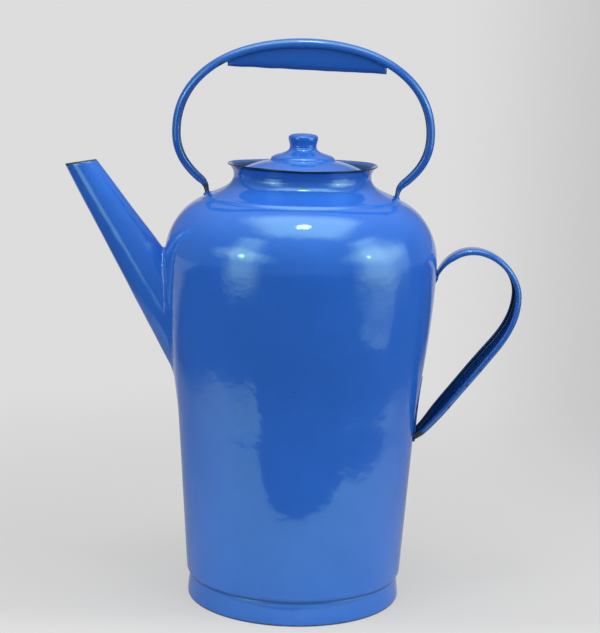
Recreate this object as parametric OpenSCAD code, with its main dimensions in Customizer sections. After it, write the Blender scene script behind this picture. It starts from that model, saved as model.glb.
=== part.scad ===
// Enamelled camp coffee pot with a lift-out percolator insert.
// Millimetres, +Z up. The origin is the centre of the foot, on the surface it stands on.
// The spout points along -X and the rear handle along +X.

/* [Pot] */
// Radius of the foot ring at the floor
foot_r = 82.8; // [78:0.1:86]
// Height of the foot ring up to the bottom pan
foot_h = 18.1; // [14:0.1:22]
// Radius of the wall just above its bottom edge
wall_bottom_r = 83.8; // [83:0.1:87]
// Radius of the wall where it starts to swell
wall_swell_r = 91.6; // [91:0.1:94]
// Height at which the wall starts to swell
wall_swell_z = 140; // [130:1:150]
// Largest radius of the wall, at the shoulder
shoulder_r = 104.2; // [102:0.1:106]
// Height of the largest radius
shoulder_z = 264; // [260:1:268]
// Height of the shoulder's curve above its largest radius
shoulder_rise = 50; // [48:0.5:52]
// Radius of the neck at its waist
neck_r = 52.2; // [52:0.1:55]
// Height of the neck's waist
neck_z = 328; // [327:0.5:330]
// Radius of the flared rim
rim_r = 57.3; // [56:0.1:60]
// Height of the rim
rim_z = 338; // [337:0.5:340]
// Thickness of the enamelled sheet
sheet = 1.3; // [1:0.1:1.5]

/* [Spout] */
// Lean of the spout's centre line from upright, in degrees
spout_lean = 32.8; // [31:0.1:35]
// Height at which the spout's centre line leaves the wall
spout_root_z = 232.9; // [229:0.1:236]
// Radius of the spout's outside at the wall
spout_root_r = 21.3; // [20.5:0.1:23]
// Radius of the spout's outside at its tip
spout_tip_r = 11.2; // [10:0.1:12]
// Length of the spout along its centre line, from the wall to the tip
spout_len = 123; // [118:0.5:127]
// Slope of the level cut at the tip, in degrees
spout_cut = 10.9; // [5:0.1:15]
// Radius of the strainer holes in the wall behind the spout
strainer_r = 2.2; // [1.5:0.1:2.5]

/* [Handles] */
// Height of the top of the arched handle
arch_top_z = 431.9; // [430:0.1:436]
// Half the width of the arched handle at its widest
arch_half_w = 99.3; // [97:0.1:102]
// Half the distance between the arched handle's feet
arch_foot_x = 73.6; // [73.2:0.1:74.4]
// Width of the arched handle's channel at the grip
arch_w = 23; // [20:0.5:26]
// Depth of the arched handle's channel at the grip
arch_d = 7.4; // [6:0.1:8]
// Height of the flat underside of the grip shell, at the pot's axis
grip_z = 408.5; // [407:0.1:410]
// Distance of the rear handle's outermost point from the pot's axis
rear_reach = 169.6; // [166:0.1:172]
// Height of the top of the rear handle
rear_top_z = 277; // [275:0.5:279]
// Width of the rear handle's channel at the grip
rear_w = 25; // [23.5:0.5:27]

/* [Lid] */
// Radius of the lid's seating brim
brim_r = 51; // [50.6:0.1:51.1]
// Depth of the ring under the lid
skirt_h = 17; // [10:1:20]
// Radius of the knob at its widest
knob_r = 11.3; // [10.5:0.1:12]
// Radius of the knob's neck, where it stands on the lid
knob_neck_r = 10.2; // [9.5:0.1:10.5]
// Height of the top of the knob
knob_z = 361.2; // [360:0.1:363]

/* [Percolator insert] */
// Radius of the pump's flared foot
pump_r = 41; // [36:0.5:44]
// Outer radius of the stem
stem_r = 5.5; // [5:0.1:5.6]
// Height of the top of the stem
stem_top_z = 276; // [274:1:282]
// Radius of the coffee basket's wall
basket_r = 43; // [40:0.5:44]
// Height of the underside of the basket's floor
basket_z = 190; // [185:1:195]
// Height of the basket
basket_h = 61; // [55:1:63]
// Radius of the holes in the basket's floor and in the spreader
sieve_r = 1.1; // [0.8:0.1:1.2]

/* [Hidden] */
$fn = 96;

enamel = [0.13, 0.40, 0.80];
dark_enamel = [0.08, 0.25, 0.60];
aluminium = [0.78, 0.79, 0.80];
gap = 0.3;
pan_t = 1.4;
foil = 0.9;
seam_low_a = 72;
seam_top_a = 78;
shoulder_run = 42;
brim_z = 330.9;
boss_z = 350.6;
crimp_r = 4;
wall_z0 = foot_h + pan_t;

// ---- curves in the plane [distance, height] ----

// Points of a cubic curve from p0 to p3, n steps
function bez(p0, p1, p2, p3, n) = [
    for (i = [0:n])
        let (t = i / n, u = 1 - t)
        u * u * u * p0 + 3 * u * u * t * p1 + 3 * u * t * t * p2 + t * t * t * p3
];

// A list without its first item, for joining two curves at their shared point
function tail(list) = [for (i = [1:len(list) - 1]) list[i]];

// A list from its last item to its first
function flip(list) = [for (i = [len(list) - 1:-1:0]) list[i]];

// Unit direction of a path at its point i
function heading(path, i) =
    let (d = path[min(i + 1, len(path) - 1)] - path[max(i - 1, 0)])
    d / norm(d);

// The path moved sideways by w, to the left as the path runs
function beside(path, w) = [
    for (i = [0:len(path) - 1])
        let (h = heading(path, i))
        path[i] + w * [-h[1], h[0]]
];

// A sheet-metal pressing: a path turned about Z, with thickness w to its left
module pressing(path, w) {
    rotate_extrude()
        polygon(concat(path, flip(beside(path, w))));
}

// ---- the pot's outline ----

function shoulder_point(a) = [
    shoulder_r - shoulder_run + shoulder_run * cos(a),
    shoulder_z + shoulder_rise * sin(a)
];

wall_line = concat(
    bez([81.9, wall_z0], [83, wall_z0], [wall_bottom_r, wall_z0 + 1], [wall_bottom_r, wall_z0 + 3], 4),
    bez([wall_swell_r, wall_swell_z], [wall_swell_r + 1.8, wall_swell_z + 27],
        [shoulder_r - 0.8, shoulder_z - 53], [shoulder_r, shoulder_z], 16)
);
shoulder_line = [for (a = [6:6:seam_top_a]) shoulder_point(a)];
body_line = concat(wall_line, shoulder_line);

collar_line = concat(
    [shoulder_point(seam_low_a), shoulder_point((seam_low_a + seam_top_a) / 2)],
    bez(shoulder_point(seam_top_a), [61, 317], [neck_r - sheet, 320], [neck_r - sheet, neck_z], 10),
    tail(bez([neck_r - sheet, neck_z], [neck_r - sheet, neck_z + 4],
             [rim_r - 4, rim_z - 1.6], [rim_r - 1, rim_z], 6))
);

// Radius of the wall's outside at height z
function wall_r(z) = lookup(z, [for (p = body_line) [p[1], p[0]]]);

module body_solid() {
    rotate_extrude()
        polygon(concat([[0, wall_z0]], body_line, [[0, body_line[len(body_line) - 1][1]]]));
}

module body_shell() {
    color(enamel)
    difference() {
        pressing(body_line, sheet);
        strainer_holes();
    }
}

// Holes in staggered rows inside the oval where the spout meets the wall
module strainer_holes() {
    pitch = 8;
    for (row = [-3:3], i = [-2:2]) {
        y = (i + (row % 2 == 0 ? 0 : 0.5)) * pitch;
        z = row * pitch * 1.15;
        if (pow(y / 15, 2) + pow(z / 30, 2) < 1)
            translate([-shoulder_r - 5, y, spout_root_z - 4 + z])
                rotate([0, 90, 0])
                    cylinder(r = strainer_r, h = 25);
    }
}

module neck_collar() {
    color(enamel)
        pressing(collar_line, -sheet);
}

module base_pan() {
    line = [[0, wall_z0 + 3], [64, wall_z0 + 3], [68, wall_z0], [81.8, wall_z0]];
    color(dark_enamel)
        rotate_extrude()
            polygon(concat(line, [for (p = flip(line)) p - [0, pan_t]]));
}

module foot_ring() {
    outer = concat(
        [[foot_r - 4.3, 0]],
        bez([foot_r - 1.2, 0], [foot_r - 0.4, 0], [foot_r, 0.4], [foot_r, 1.4], 4),
        [[foot_r - 0.5, foot_h * 0.5], [foot_r - 1.3, foot_h]]
    );
    inner = [
        [foot_r - 1.3 - 1.5, foot_h], [foot_r - 2, foot_h * 0.5],
        [foot_r - 1.6, 1.5], [foot_r - 4.3, 1.5]
    ];
    color(enamel)
        rotate_extrude()
            polygon(concat(outer, inner));
}

// ---- spout ----

module spout() {
    grow = (spout_root_r - spout_tip_r) / spout_len;
    back = 34;
    over = 14;
    color(enamel)
    difference() {
        spout_frame()
            spout_cone(spout_root_r + grow * back, spout_tip_r - grow * over, back, over);
        spout_frame()
            spout_cone(spout_root_r + grow * back - sheet, spout_tip_r - grow * over - sheet,
                       back + 1, over + 1);
        body_solid();
        translate([-shoulder_r + 8, -60, 100])
            cube([80, 120, 200]);
        spout_frame()
            translate([0, 0, spout_len])
                rotate([0, spout_lean - spout_cut, 0])
                    translate([-40, -40, 0])
                        cube([80, 80, 40]);
    }
}

// Places children with their origin on the wall and +Z along the spout
module spout_frame() {
    translate([-wall_r(spout_root_z), 0, spout_root_z])
        rotate([0, -spout_lean, 0])
            children();
}

module spout_cone(r1, r2, back, over) {
    translate([0, 0, -back])
        cylinder(r1 = r1, r2 = r2, h = spout_len + back + over);
}

// ---- strap handles ----

// Outline of a rolled-edge channel: w across, d deep, as [across, depth]
// The outside's points come first, and then as many for the inside, running back
function channel(w, d) = concat(
    [[-w / 2, d], [-w / 2, 1.6], [-w / 2 + 1.5, 0.3], [0, 0],
     [w / 2 - 1.5, 0.3], [w / 2, 1.6], [w / 2, d]],
    [[w / 2 - 1.5, d], [w / 2 - 1.5, 2.2], [w / 2 - 2.1, 1.8], [0, 1.6],
     [-w / 2 + 2.1, 1.8], [-w / 2 + 1.5, 2.2], [-w / 2 + 1.5, d]]
);

// A solid through rings of points, each ring an outside and an inside of equal count
module loft(rings) {
    n = len(rings[0]);
    m = len(rings);
    e = (m - 1) * n;
    sides = [
        for (i = [0:m - 2], j = [0:n - 1])
            let (a = i * n + j, b = i * n + (j + 1) % n)
            each [[a, b, b + n], [a, b + n, a + n]]
    ];
    ends = [
        for (j = [0:n / 2 - 2])
            let (k = n - 1 - j)
            each [
                [j, k, k - 1], [j, k - 1, j + 1],
                [e + j, e + k - 1, e + k], [e + j, e + j + 1, e + k - 1]
            ]
    ];
    polyhedron(points = [for (r = rings) each r], faces = concat(sides, ends), convexity = 6);
}

// Length along a path up to its point i, over its whole length
function along(path, i) = run(path, i) / run(path, len(path) - 1);
function run(path, i) = i == 0 ? 0 : run(path, i - 1) + norm(path[i] - path[i - 1]);

// A channel along a path in the XZ plane, open to the path's right
// widths and depths are [part of the length, value] tables
module strap(path, widths, depths) {
    loft([
        for (i = [0:len(path) - 1])
            let (h = heading(path, i), s = along(path, i))
            [for (c = channel(lookup(s, widths), lookup(s, depths)))
                [path[i][0] + c[1] * h[1], c[0], path[i][1] - c[1] * h[0]]]
    ]);
}

arch_side_z = 361;
arch_shoulder = bez([arch_half_w, arch_side_z], [arch_half_w, arch_side_z + 42.3],
                    [60, arch_top_z], [0, arch_top_z], 14);
arch_leg = concat(
    bez([arch_foot_x, 311.2], [arch_foot_x, 318], [arch_foot_x + 1.4, 320.2], [79.6, 322.9], 5),
    tail(bez([79.6, 322.9], [93.2, 334], [arch_half_w, 346], [arch_half_w, arch_side_z], 8))
);
arch_right = concat(arch_leg, tail(arch_shoulder));
arch_left = [for (p = arch_right) [-p[0], p[1]]];
arch_line = concat(arch_left, tail(flip(arch_right)));

module top_handle_strap() {
    color(enamel)
        strap(
            arch_line,
            [[0, 11], [0.04, 11], [0.13, 17], [0.3, arch_w], [0.7, arch_w], [0.87, 17], [0.96, 11], [1, 11]],
            [[0, 2.8], [0.014, 3.2], [0.034, 5.6], [0.25, 6], [0.5, arch_d], [0.75, 6], [0.966, 5.6],
             [0.986, 3.2], [1, 2.8]]
        );
}

// The boat-shaped shell: straight below, and following the arch above
module top_handle_grip() {
    half_w = arch_w / 2 - 1.7;
    skin = 1.2;
    top = [for (p = arch_line) if (abs(p[0] - 2) < 60) p];
    color(dark_enamel)
        loft([
            for (p = top)
                let (z1 = p[1] - 2.4, z0 = min(grip_z - 0.027 * p[0], z1 - 3.4))
                [
                    [p[0], -half_w, z1], [p[0], -half_w, z0 + 2], [p[0], -half_w + 2, z0],
                    [p[0], half_w - 2, z0], [p[0], half_w, z0 + 2], [p[0], half_w, z1],
                    [p[0], half_w - skin, z1], [p[0], half_w - skin, z0 + 2.3],
                    [p[0], half_w - 2.3, z0 + skin], [p[0], 2.3 - half_w, z0 + skin],
                    [p[0], skin - half_w, z0 + 2.3], [p[0], skin - half_w, z1]
                ]
        ]);
}

fold_r = 4.4;
fold_at = [wall_r(131) + fold_r, 131];
rear_line = concat(
    [[wall_r(246.5) - 0.1, 246.5], [wall_r(251), 251]],
    bez([wall_r(256), 256], [105.5, 262], [114, rear_top_z], [132.5, rear_top_z], 9),
    tail(bez([132.5, rear_top_z], [151, rear_top_z], [rear_reach, 259.5], [rear_reach, 241], 9)),
    tail(bez([rear_reach, 241], [rear_reach, 224], [162, 210.5], [152, 197.9], 8)),
    [[133.7, 174.6], [115.3, 151.4]],
    [for (a = [231:-18:105]) fold_at + fold_r * [-sin(a), cos(a)]],
    [for (z = [132:9.5:170]) [wall_r(z) - 0.1, z]]
);

module rear_handle_strap() {
    color(enamel)
        strap(
            rear_line,
            [[0, 9], [0.04, 14], [0.12, 19], [0.3, 21], [0.6, rear_w], [0.72, 23], [0.82, 17], [0.94, 14], [1, 8]],
            [[0, 2.3], [0.05, 2.6], [0.12, 4.6], [0.3, 4.8], [0.55, 6.8], [0.73, 6.6], [0.81, 4], [0.86, 2.6], [1, 2.3]]
        );
}

// ---- lid ----

boss_line = bez([knob_neck_r, boss_z], [knob_neck_r, 347], [17.5, 346.6], [23, 343], 8);
dome_line = bez([24, 342.3], [34, 340], [42, 335], [47.4, brim_z + sheet], 8);

module lid_cover() {
    top = concat([[crimp_r + 0.05, boss_z]], boss_line, dome_line, [[brim_r, brim_z + sheet]]);
    under = [for (p = flip(tail(top))) p - [0.3, sheet]];
    color(enamel)
        rotate_extrude()
            polygon(concat(top, [[brim_r, brim_z]], tail(under), [[crimp_r + 0.05, boss_z - sheet]]));
}

module lid_skirt() {
    r = brim_r - 1.2;
    line = concat(
        bez([r - 2, brim_z - skirt_h], [r - 0.8, brim_z - skirt_h + 0.4],
            [r, brim_z - skirt_h + 1.2], [r, brim_z - skirt_h + 3], 3),
        [[r, brim_z]]
    );
    color(enamel)
        pressing(line, 1);
}

// Hollow cap with a neck that passes through the lid and is crimped under the washer
module lid_knob() {
    skin = 1.2;
    outer = concat(
        bez([knob_neck_r, boss_z], [knob_neck_r, boss_z + 3],
            [knob_r, knob_z - 6], [knob_r, knob_z - 3.4], 6),
        tail(bez([knob_r, knob_z - 3.4], [knob_r, knob_z - 1], [8, knob_z], [0, knob_z], 8))
    );
    inner = [for (p = beside(outer, skin)) [max(p[0], 0), max(p[1], boss_z + skin)]];
    color(enamel)
    difference() {
        union() {
            rotate_extrude()
                polygon(concat(outer, [[0, boss_z]]));
            translate([0, 0, boss_z - 4])
                cylinder(r = crimp_r, h = 5);
            translate([0, 0, boss_z - 4])
                cylinder(r = crimp_r + 1.4, h = 0.8);
        }
        rotate_extrude()
            polygon(concat(flip(inner), [[0, boss_z + skin]]));
        translate([0, 0, boss_z - 5])
            cylinder(r = crimp_r - 1, h = 8);
    }
}

module knob_washer() {
    color(aluminium)
    translate([0, 0, boss_z - 3.2])
        difference() {
            cylinder(r = 7.4, h = 1.8);
            translate([0, 0, -1])
                cylinder(r = crimp_r + 0.05, h = 4);
        }
}

// ---- percolator insert ----

pump_z = wall_z0 + 3 + gap;
pump_top_z = pump_z + 26;

module pump_base() {
    line = concat(
        [[pump_r, pump_z]],
        bez([pump_r, pump_z + 2], [pump_r - 2, pump_z + 11], [stem_r + foil, pump_z + 6],
            [stem_r + foil, pump_top_z - 6], 12),
        [[stem_r + foil, pump_top_z]]
    );
    color(aluminium)
    difference() {
        pressing(line, foil);
        for (a = [0:60:300])
            rotate(a)
                translate([pump_r - 8, 0, pump_z])
                    rotate([0, 90, 0])
                        cylinder(r = 3, h = 12);
    }
}

module pump_tube() {
    color(aluminium)
    translate([0, 0, pump_top_z - 14])
        tube(stem_r, stem_r - 1, stem_top_z - pump_top_z + 14);
}

module tube(r_out, r_in, h) {
    difference() {
        cylinder(r = r_out, h = h);
        translate([0, 0, -1])
            cylinder(r = r_in, h = h + 2);
    }
}

module pump_collar() {
    color(aluminium)
    translate([0, 0, basket_z - 5])
        rotate_extrude()
            polygon(concat(
                [[stem_r, 0]],
                bez([stem_r + 2, 0], [stem_r + 4, 0.5], [stem_r + 4, 3.2], [stem_r + 2.6, 3.4], 6),
                [[stem_r, 3.4]]
            ));
}

// Rings of holes between two radii, spaced evenly round each ring
module sieve(r_first, r_last, step, depth) {
    for (r = [r_first:step:r_last]) {
        count = floor(2 * PI * r / 8);
        for (k = [0:count - 1])
            rotate(360 * k / count)
                translate([r, 0, 0])
                    cylinder(r = sieve_r, h = depth, $fn = 24);
    }
}

module basket_cup() {
    corner = basket_r - 3;
    line = concat(
        [[stem_r + 1.5, basket_z]],
        bez([corner, basket_z], [basket_r - 1, basket_z], [basket_r, basket_z + 1],
            [basket_r, basket_z + 4], 5),
        [[basket_r, basket_z + basket_h - 2], [basket_r + 1.2, basket_z + basket_h]]
    );
    color(aluminium)
    difference() {
        pressing(line, foil);
        translate([0, 0, basket_z - 1])
            sieve(12, corner - 2, 6.5, 4);
    }
}

module basket_sleeve() {
    r = stem_r + 0.4;
    color(aluminium)
    difference() {
        union() {
            translate([0, 0, basket_z - 1])
                cylinder(r = r + 3.5, h = 1);
            translate([0, 0, basket_z - 1])
                cylinder(r = r + 1, h = basket_h - 4);
            translate([0, 0, basket_z + foil])
                cylinder(r = r + 2.4, h = 0.8);
        }
        translate([0, 0, basket_z - 2])
            cylinder(r = r, h = basket_h);
    }
}

spread_z = basket_z + basket_h + 3 * gap;

module spreader_plate() {
    line = [
        [stem_r + 2.2, spread_z - 3], [basket_r - 4, spread_z - 3],
        [basket_r - 2, spread_z], [basket_r + 1.6, spread_z]
    ];
    color(aluminium)
    difference() {
        pressing(line, foil);
        translate([0, 0, spread_z - 5])
            sieve(13, basket_r - 6, 6, 6);
    }
}

module spreader_ring() {
    color(aluminium)
    translate([0, 0, spread_z - 3.6])
        difference() {
            union() {
                cylinder(r = stem_r + 2.2, h = 3.2);
                cylinder(r = stem_r + 4, h = 0.6);
            }
            translate([0, 0, -1])
                cylinder(r = stem_r + 0.5, h = 6);
        }
}

body_shell();
neck_collar();
base_pan();
foot_ring();
spout();
top_handle_strap();
top_handle_grip();
rear_handle_strap();
lid_cover();
lid_skirt();
lid_knob();
knob_washer();
pump_base();
pump_tube();
pump_collar();
basket_cup();
basket_sleeve();
spreader_plate();
spreader_ring();
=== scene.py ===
"""Looks for the enamelled camp coffee pot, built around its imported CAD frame.

The pot's lengths are millimetres in its own frame (+Z up, spout at -X) until mesh() turns them into
metres. The stage, from the camera on, is in metres.
"""
from math import atan2, cos, hypot, pi, radians, sin, sqrt

import bmesh
import bpy
from mathutils import Euler, Matrix, Vector, noise


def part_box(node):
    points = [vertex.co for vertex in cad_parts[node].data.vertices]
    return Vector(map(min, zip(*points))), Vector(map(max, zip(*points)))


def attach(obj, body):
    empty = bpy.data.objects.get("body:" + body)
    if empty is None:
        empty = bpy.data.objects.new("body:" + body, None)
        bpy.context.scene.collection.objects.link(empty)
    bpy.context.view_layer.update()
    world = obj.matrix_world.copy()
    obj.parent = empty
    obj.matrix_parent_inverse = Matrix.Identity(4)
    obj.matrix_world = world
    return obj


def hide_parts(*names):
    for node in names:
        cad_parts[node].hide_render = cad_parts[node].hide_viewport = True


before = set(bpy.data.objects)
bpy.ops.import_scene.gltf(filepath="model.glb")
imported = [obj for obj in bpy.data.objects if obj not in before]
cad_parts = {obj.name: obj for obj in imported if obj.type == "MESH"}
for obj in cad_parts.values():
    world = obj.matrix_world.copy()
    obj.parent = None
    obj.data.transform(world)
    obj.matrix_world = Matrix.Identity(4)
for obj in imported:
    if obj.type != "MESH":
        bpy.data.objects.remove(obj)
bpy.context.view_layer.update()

MM = 0.001


def box_mm(node):
    low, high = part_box(node)
    return low / MM, high / MM


# ---- sizes, from the frame where it holds them ----

SHELL_LOW, SHELL_HIGH = box_mm("body_shell")
COLLAR_HIGH = box_mm("neck_collar")[1]
RING_HIGH = box_mm("foot_ring")[1]
ARCH_HIGH = box_mm("top_handle_strap")[1]
REAR_HIGH = box_mm("rear_handle_strap")[1]
COVER_LOW, COVER_HIGH = box_mm("lid_cover")
SKIRT_LOW, SKIRT_HIGH = box_mm("lid_skirt")
KNOB_LOW, KNOB_HIGH = box_mm("lid_knob")

# Thickness of the pot's sheet with its enamel, and of the handles'
SHEET = 1.3
STRAP_SHEET = 1.2

# The wall: a cone up to SWELL, given as radius and height, then a swell up to the shoulder, which is an
# ellipse's quarter
WALL_Z0 = SHELL_LOW.z
WALL_HEM_R = 81.9
WALL_BOTTOM_R = 83.8
SWELL = (91.6, 140)
SHOULDER_R = SHELL_HIGH.y
SHOULDER_Z = 264
SHOULDER_RUN = 42
SHOULDER_RISE = 50

# The neck laps over the shoulder from one angle of that ellipse to the next, then rises to its waist
LAP_ANGLE = 70
LEAVE_ANGLE = 78
NECK_TURN = (61, 317)
NECK_R = 52.2
NECK_Z = 329.6
RIM_R = 57.3
RIM_Z = COLLAR_HIGH.z
LIP_SHEET = 0.55

# The spout's angle from upright, its lean to +Y as a slope, and the slant of its cut tip along X and Y
SPOUT_LEAN = radians(33.3)
SPOUT_BACK = 0.055
SPOUT_CUT = radians(10.9)
SPOUT_TURN = 0.05
SPOUT_ROOT_Z = 232.9
SPOUT_ROOT_R = 21.3
SPOUT_TIP_R = 11.2
SPOUT_LEN = 122.3

# The strainer's holes, in an oval behind the spout that is given by its half width and half height
STRAINER_R = 2.2
STRAINER_PITCH = 8
STRAINER_ROW_PITCH = 9.2
STRAINER_OVAL = (15, 30)
STRAINER_Z = SPOUT_ROOT_Z - 4

# The lid's boss, the hole in it, and the knob on it
BOSS_Z = 350.6
STEM_HOLE_R = 4.1
KNOB_NECK_R = 10.2
KNOB_R = KNOB_HIGH.y
KNOB_Z = KNOB_HIGH.z
BRIM_R = COVER_HIGH.y
BRIM_Z = COVER_LOW.z

# Columns of faces round each turned piece
POT_TURNS = 288
LID_TURNS = 224
SKIRT_TURNS = 192
KNOB_TURNS = 128
SPOUT_TURNS = 160


# ---- curves ----

def bez(p0, p1, p2, p3, n):
    """n + 1 points of a cubic curve."""
    points = []
    for i in range(n + 1):
        t = i / n
        u = 1 - t
        weights = (u * u * u, 3 * u * u * t, 3 * u * t * t, t * t * t)
        points.append(tuple(sum(w * c for w, c in zip(weights, axis)) for axis in zip(p0, p1, p2, p3)))
    return points


def line(p0, p1, n):
    return [tuple(a + (b - a) * i / n for a, b in zip(p0, p1)) for i in range(n + 1)]


def join(*curves):
    """Curves end to end, with their shared points once."""
    points = list(curves[0])
    for curve in curves[1:]:
        same = hypot(curve[0][0] - points[-1][0], curve[0][1] - points[-1][1]) < 1e-6
        points += curve[1:] if same else curve
    return points


def heading(path, i):
    """Unit direction of a path in the plane at one of its points."""
    a = path[max(i - 1, 0)]
    b = path[min(i + 1, len(path) - 1)]
    run = hypot(b[0] - a[0], b[1] - a[1])
    return (b[0] - a[0]) / run, (b[1] - a[1]) / run


def beside(path, width):
    """A path in the plane, moved to its left by width, which may be a function of the path's index."""
    moved = []
    for i, p in enumerate(path):
        run = heading(path, i)
        w = width(i) if callable(width) else width
        moved.append((p[0] - w * run[1], p[1] + w * run[0]))
    return moved


def smooth(x, low, high):
    t = min(1.0, max(0.0, (x - low) / (high - low)))
    return t * t * (3 - 2 * t)


def table(x, rows):
    """Straight-line lookup in [(x, value), ...]."""
    for (x0, v0), (x1, v1) in zip(rows, rows[1:]):
        if x <= x1:
            return v0 + (v1 - v0) * max(0.0, x - x0) / (x1 - x0)
    return rows[-1][1]


# ---- the pot's hand-made unevenness ----

# Shallow dents: direction round the pot in degrees from +X, height, radius and depth
DENTS = [
    (-52, 291, 16, 0.9), (-60, 246, 24, 0.55), (-118, 262, 30, 0.4),
    (-98, 205, 45, 0.2), (100, 200, 26, 0.9), (62, 120, 22, 0.8),
    (140, 90, 30, 0.7), (-150, 120, 28, 0.5), (35, 255, 18, 0.9),
]
# A dent fades out at this many times its radius
DENT_REACH = 1.6
# Depth and length of the wall's broad and fine waves. Low down only a part of them is left, and they grow
# to their full depth between two heights.
BROAD_WAVE = (0.22, 66)
FINE_WAVE = (0.05, 23)
WAVES_LOW = 0.35
WAVES_GROW = (190, 250)


def warp(x, y, z):
    """How far the pot's wall stands out from its true round at a point."""
    at = Vector((x, y, z))
    push = BROAD_WAVE[0] * noise.noise(at / BROAD_WAVE[1])
    push += FINE_WAVE[0] * noise.noise(at / FINE_WAVE[1] + Vector((7, 3, 1)))
    push *= WAVES_LOW + (1 - WAVES_LOW) * smooth(z, *WAVES_GROW)
    turn = atan2(y, x)
    for angle, height, radius, depth in DENTS:
        across = (turn - radians(angle) + pi) % (2 * pi) - pi
        away = hypot(across * hypot(x, y), z - height) / radius
        push -= depth * (1 - smooth(away, 0, DENT_REACH))
    return push


def warped(x, y, z, amount=1.0):
    r = hypot(x, y)
    if r < 1e-6:
        return x, y, z
    k = 1 + amount * warp(x, y, z) / r
    return x * k, y * k, z


# ---- meshes ----

def mesh(name, rows, close_rows=False, bare=None, shade=None):
    """A piece through rows of points of equal count, each row a closed loop.

    bare gives the wear at a point, from 0 to 1. shade gives painted shade at a row and column, and at the
    neck's lip a dark edge as well: 1 is darker, and 2 is nearly black.
    """
    count = len(rows[0])
    verts = [Vector(p) * MM for row in rows for p in row]
    faces = []
    for i in range(len(rows) - (0 if close_rows else 1)):
        a = i * count
        b = (i + 1) % len(rows) * count
        for j in range(count):
            k = (j + 1) % count
            faces.append((a + j, a + k, b + k, b + j))
    data = bpy.data.meshes.new(name)
    data.from_pydata(verts, [], faces)
    wear = data.attributes.new("bare", "FLOAT", "POINT")
    if bare:
        wear.data.foreach_set("value", [bare(*p) for row in rows for p in row])
    # Painted shade at each point, with the dark edge at the neck's lip
    weight = data.attributes.new("weight", "FLOAT", "POINT")
    if shade:
        weight.data.foreach_set("value", [shade(i, j) for i in range(len(rows)) for j in range(count)])
    shape = bmesh.new()
    shape.from_mesh(data)
    bmesh.ops.remove_doubles(shape, verts=shape.verts, dist=1e-6)
    bmesh.ops.recalc_face_normals(shape, faces=shape.faces)
    for face in shape.faces:
        face.smooth = True
    shape.to_mesh(data)
    shape.free()
    piece = bpy.data.objects.new(name, data)
    bpy.context.scene.collection.objects.link(piece)
    return piece


def revolve(name, outline, turns, move=None, bare=None, shade=None):
    """A closed outline of (radius, height) points turned about Z."""
    rows = []
    for r, z in outline:
        row = []
        for j in range(turns):
            a = 2 * pi * j / turns
            p = (r * cos(a), r * sin(a), z)
            row.append(move(*p) if move else p)
        rows.append(row)
    return mesh(name, rows, close_rows=True, bare=bare, shade=shade)


def cap_ends(piece):
    shape = bmesh.new()
    shape.from_mesh(piece.data)
    edges = [e for e in shape.edges if e.is_boundary]
    bmesh.ops.holes_fill(shape, edges=edges)
    bmesh.ops.recalc_face_normals(shape, faces=shape.faces)
    shape.to_mesh(piece.data)
    shape.free()


def chips(spots):
    """Wear that peaks at each (x, y, z, radius) spot."""
    def bare(x, y, z):
        worn = 0.0
        for cx, cy, cz, radius in spots:
            away = sqrt((x - cx) ** 2 + (y - cy) ** 2 + (z - cz) ** 2) / radius
            worn = max(worn, 1 - away)
        return max(0.0, min(1.0, worn))
    return bare


def place(piece, body, node, material):
    """Puts a piece in for a CAD node, in its material."""
    piece.data.materials.append(material)
    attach(piece, body)
    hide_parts(node)


# ---- the wall, neck and foot ring ----

def shoulder_point(angle):
    a = radians(angle)
    return (SHOULDER_R - SHOULDER_RUN + SHOULDER_RUN * cos(a), SHOULDER_Z + SHOULDER_RISE * sin(a))


def wall_outline():
    corner = (WALL_BOTTOM_R, WALL_Z0)
    foot = bez((WALL_HEM_R, WALL_Z0), (corner[0] - 0.8, WALL_Z0), (corner[0], WALL_Z0 + 1),
               (corner[0], WALL_Z0 + 3), 6)
    cone = line(foot[-1], SWELL, 26)
    swell = bez(SWELL, (SWELL[0] + 1.8, SWELL[1] + 27), (SHOULDER_R - 0.8, SHOULDER_Z - 53),
                (SHOULDER_R, SHOULDER_Z), 36)
    shoulder = [shoulder_point(a) for a in range(2, LEAVE_ANGLE + 1, 2)]
    return join(foot, cone, swell, shoulder)


WALL = wall_outline()


def wall_r(z):
    for (r0, z0), (r1, z1) in zip(WALL, WALL[1:]):
        if z <= z1:
            return r0 + (r1 - r0) * max(0.0, z - z0) / (z1 - z0)
    return WALL[-1][0]


def drill(piece, holes, radius):
    """Cuts round holes along X at (x, y, z) points, and keeps their edges sharp."""
    reach = 30
    sharp = radians(50)
    shape = bmesh.new()
    for x, y, z in holes:
        at = Matrix.Translation(Vector((x, y, z)) * MM) @ Matrix.Rotation(pi / 2, 4, "Y")
        bmesh.ops.create_cone(shape, cap_ends=True, segments=20, radius1=radius * MM, radius2=radius * MM,
                              depth=reach * MM, matrix=at)
    data = bpy.data.meshes.new("drill")
    shape.to_mesh(data)
    shape.free()
    tool = bpy.data.objects.new("drill", data)
    bpy.context.scene.collection.objects.link(tool)
    cut = piece.modifiers.new("holes", "BOOLEAN")
    cut.object = tool
    cut.solver = "EXACT"
    done = bpy.data.meshes.new_from_object(piece.evaluated_get(bpy.context.evaluated_depsgraph_get()))
    piece.modifiers.clear()
    piece.data = done
    bpy.data.objects.remove(tool)
    shape = bmesh.new()
    shape.from_mesh(done)
    for edge in shape.edges:
        if len(edge.link_faces) == 2 and edge.calc_face_angle() > sharp:
            edge.smooth = False
    shape.to_mesh(done)
    shape.free()


# Worn spots on the wall, and below on each handle: x, y, z and radius
WALL_CHIPS = [(2, -98, 194, 2.6), (-3, -97, 182, 2.2), (9, -97, 181, 2.0), (1, -98, 205, 1.8)]


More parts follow.
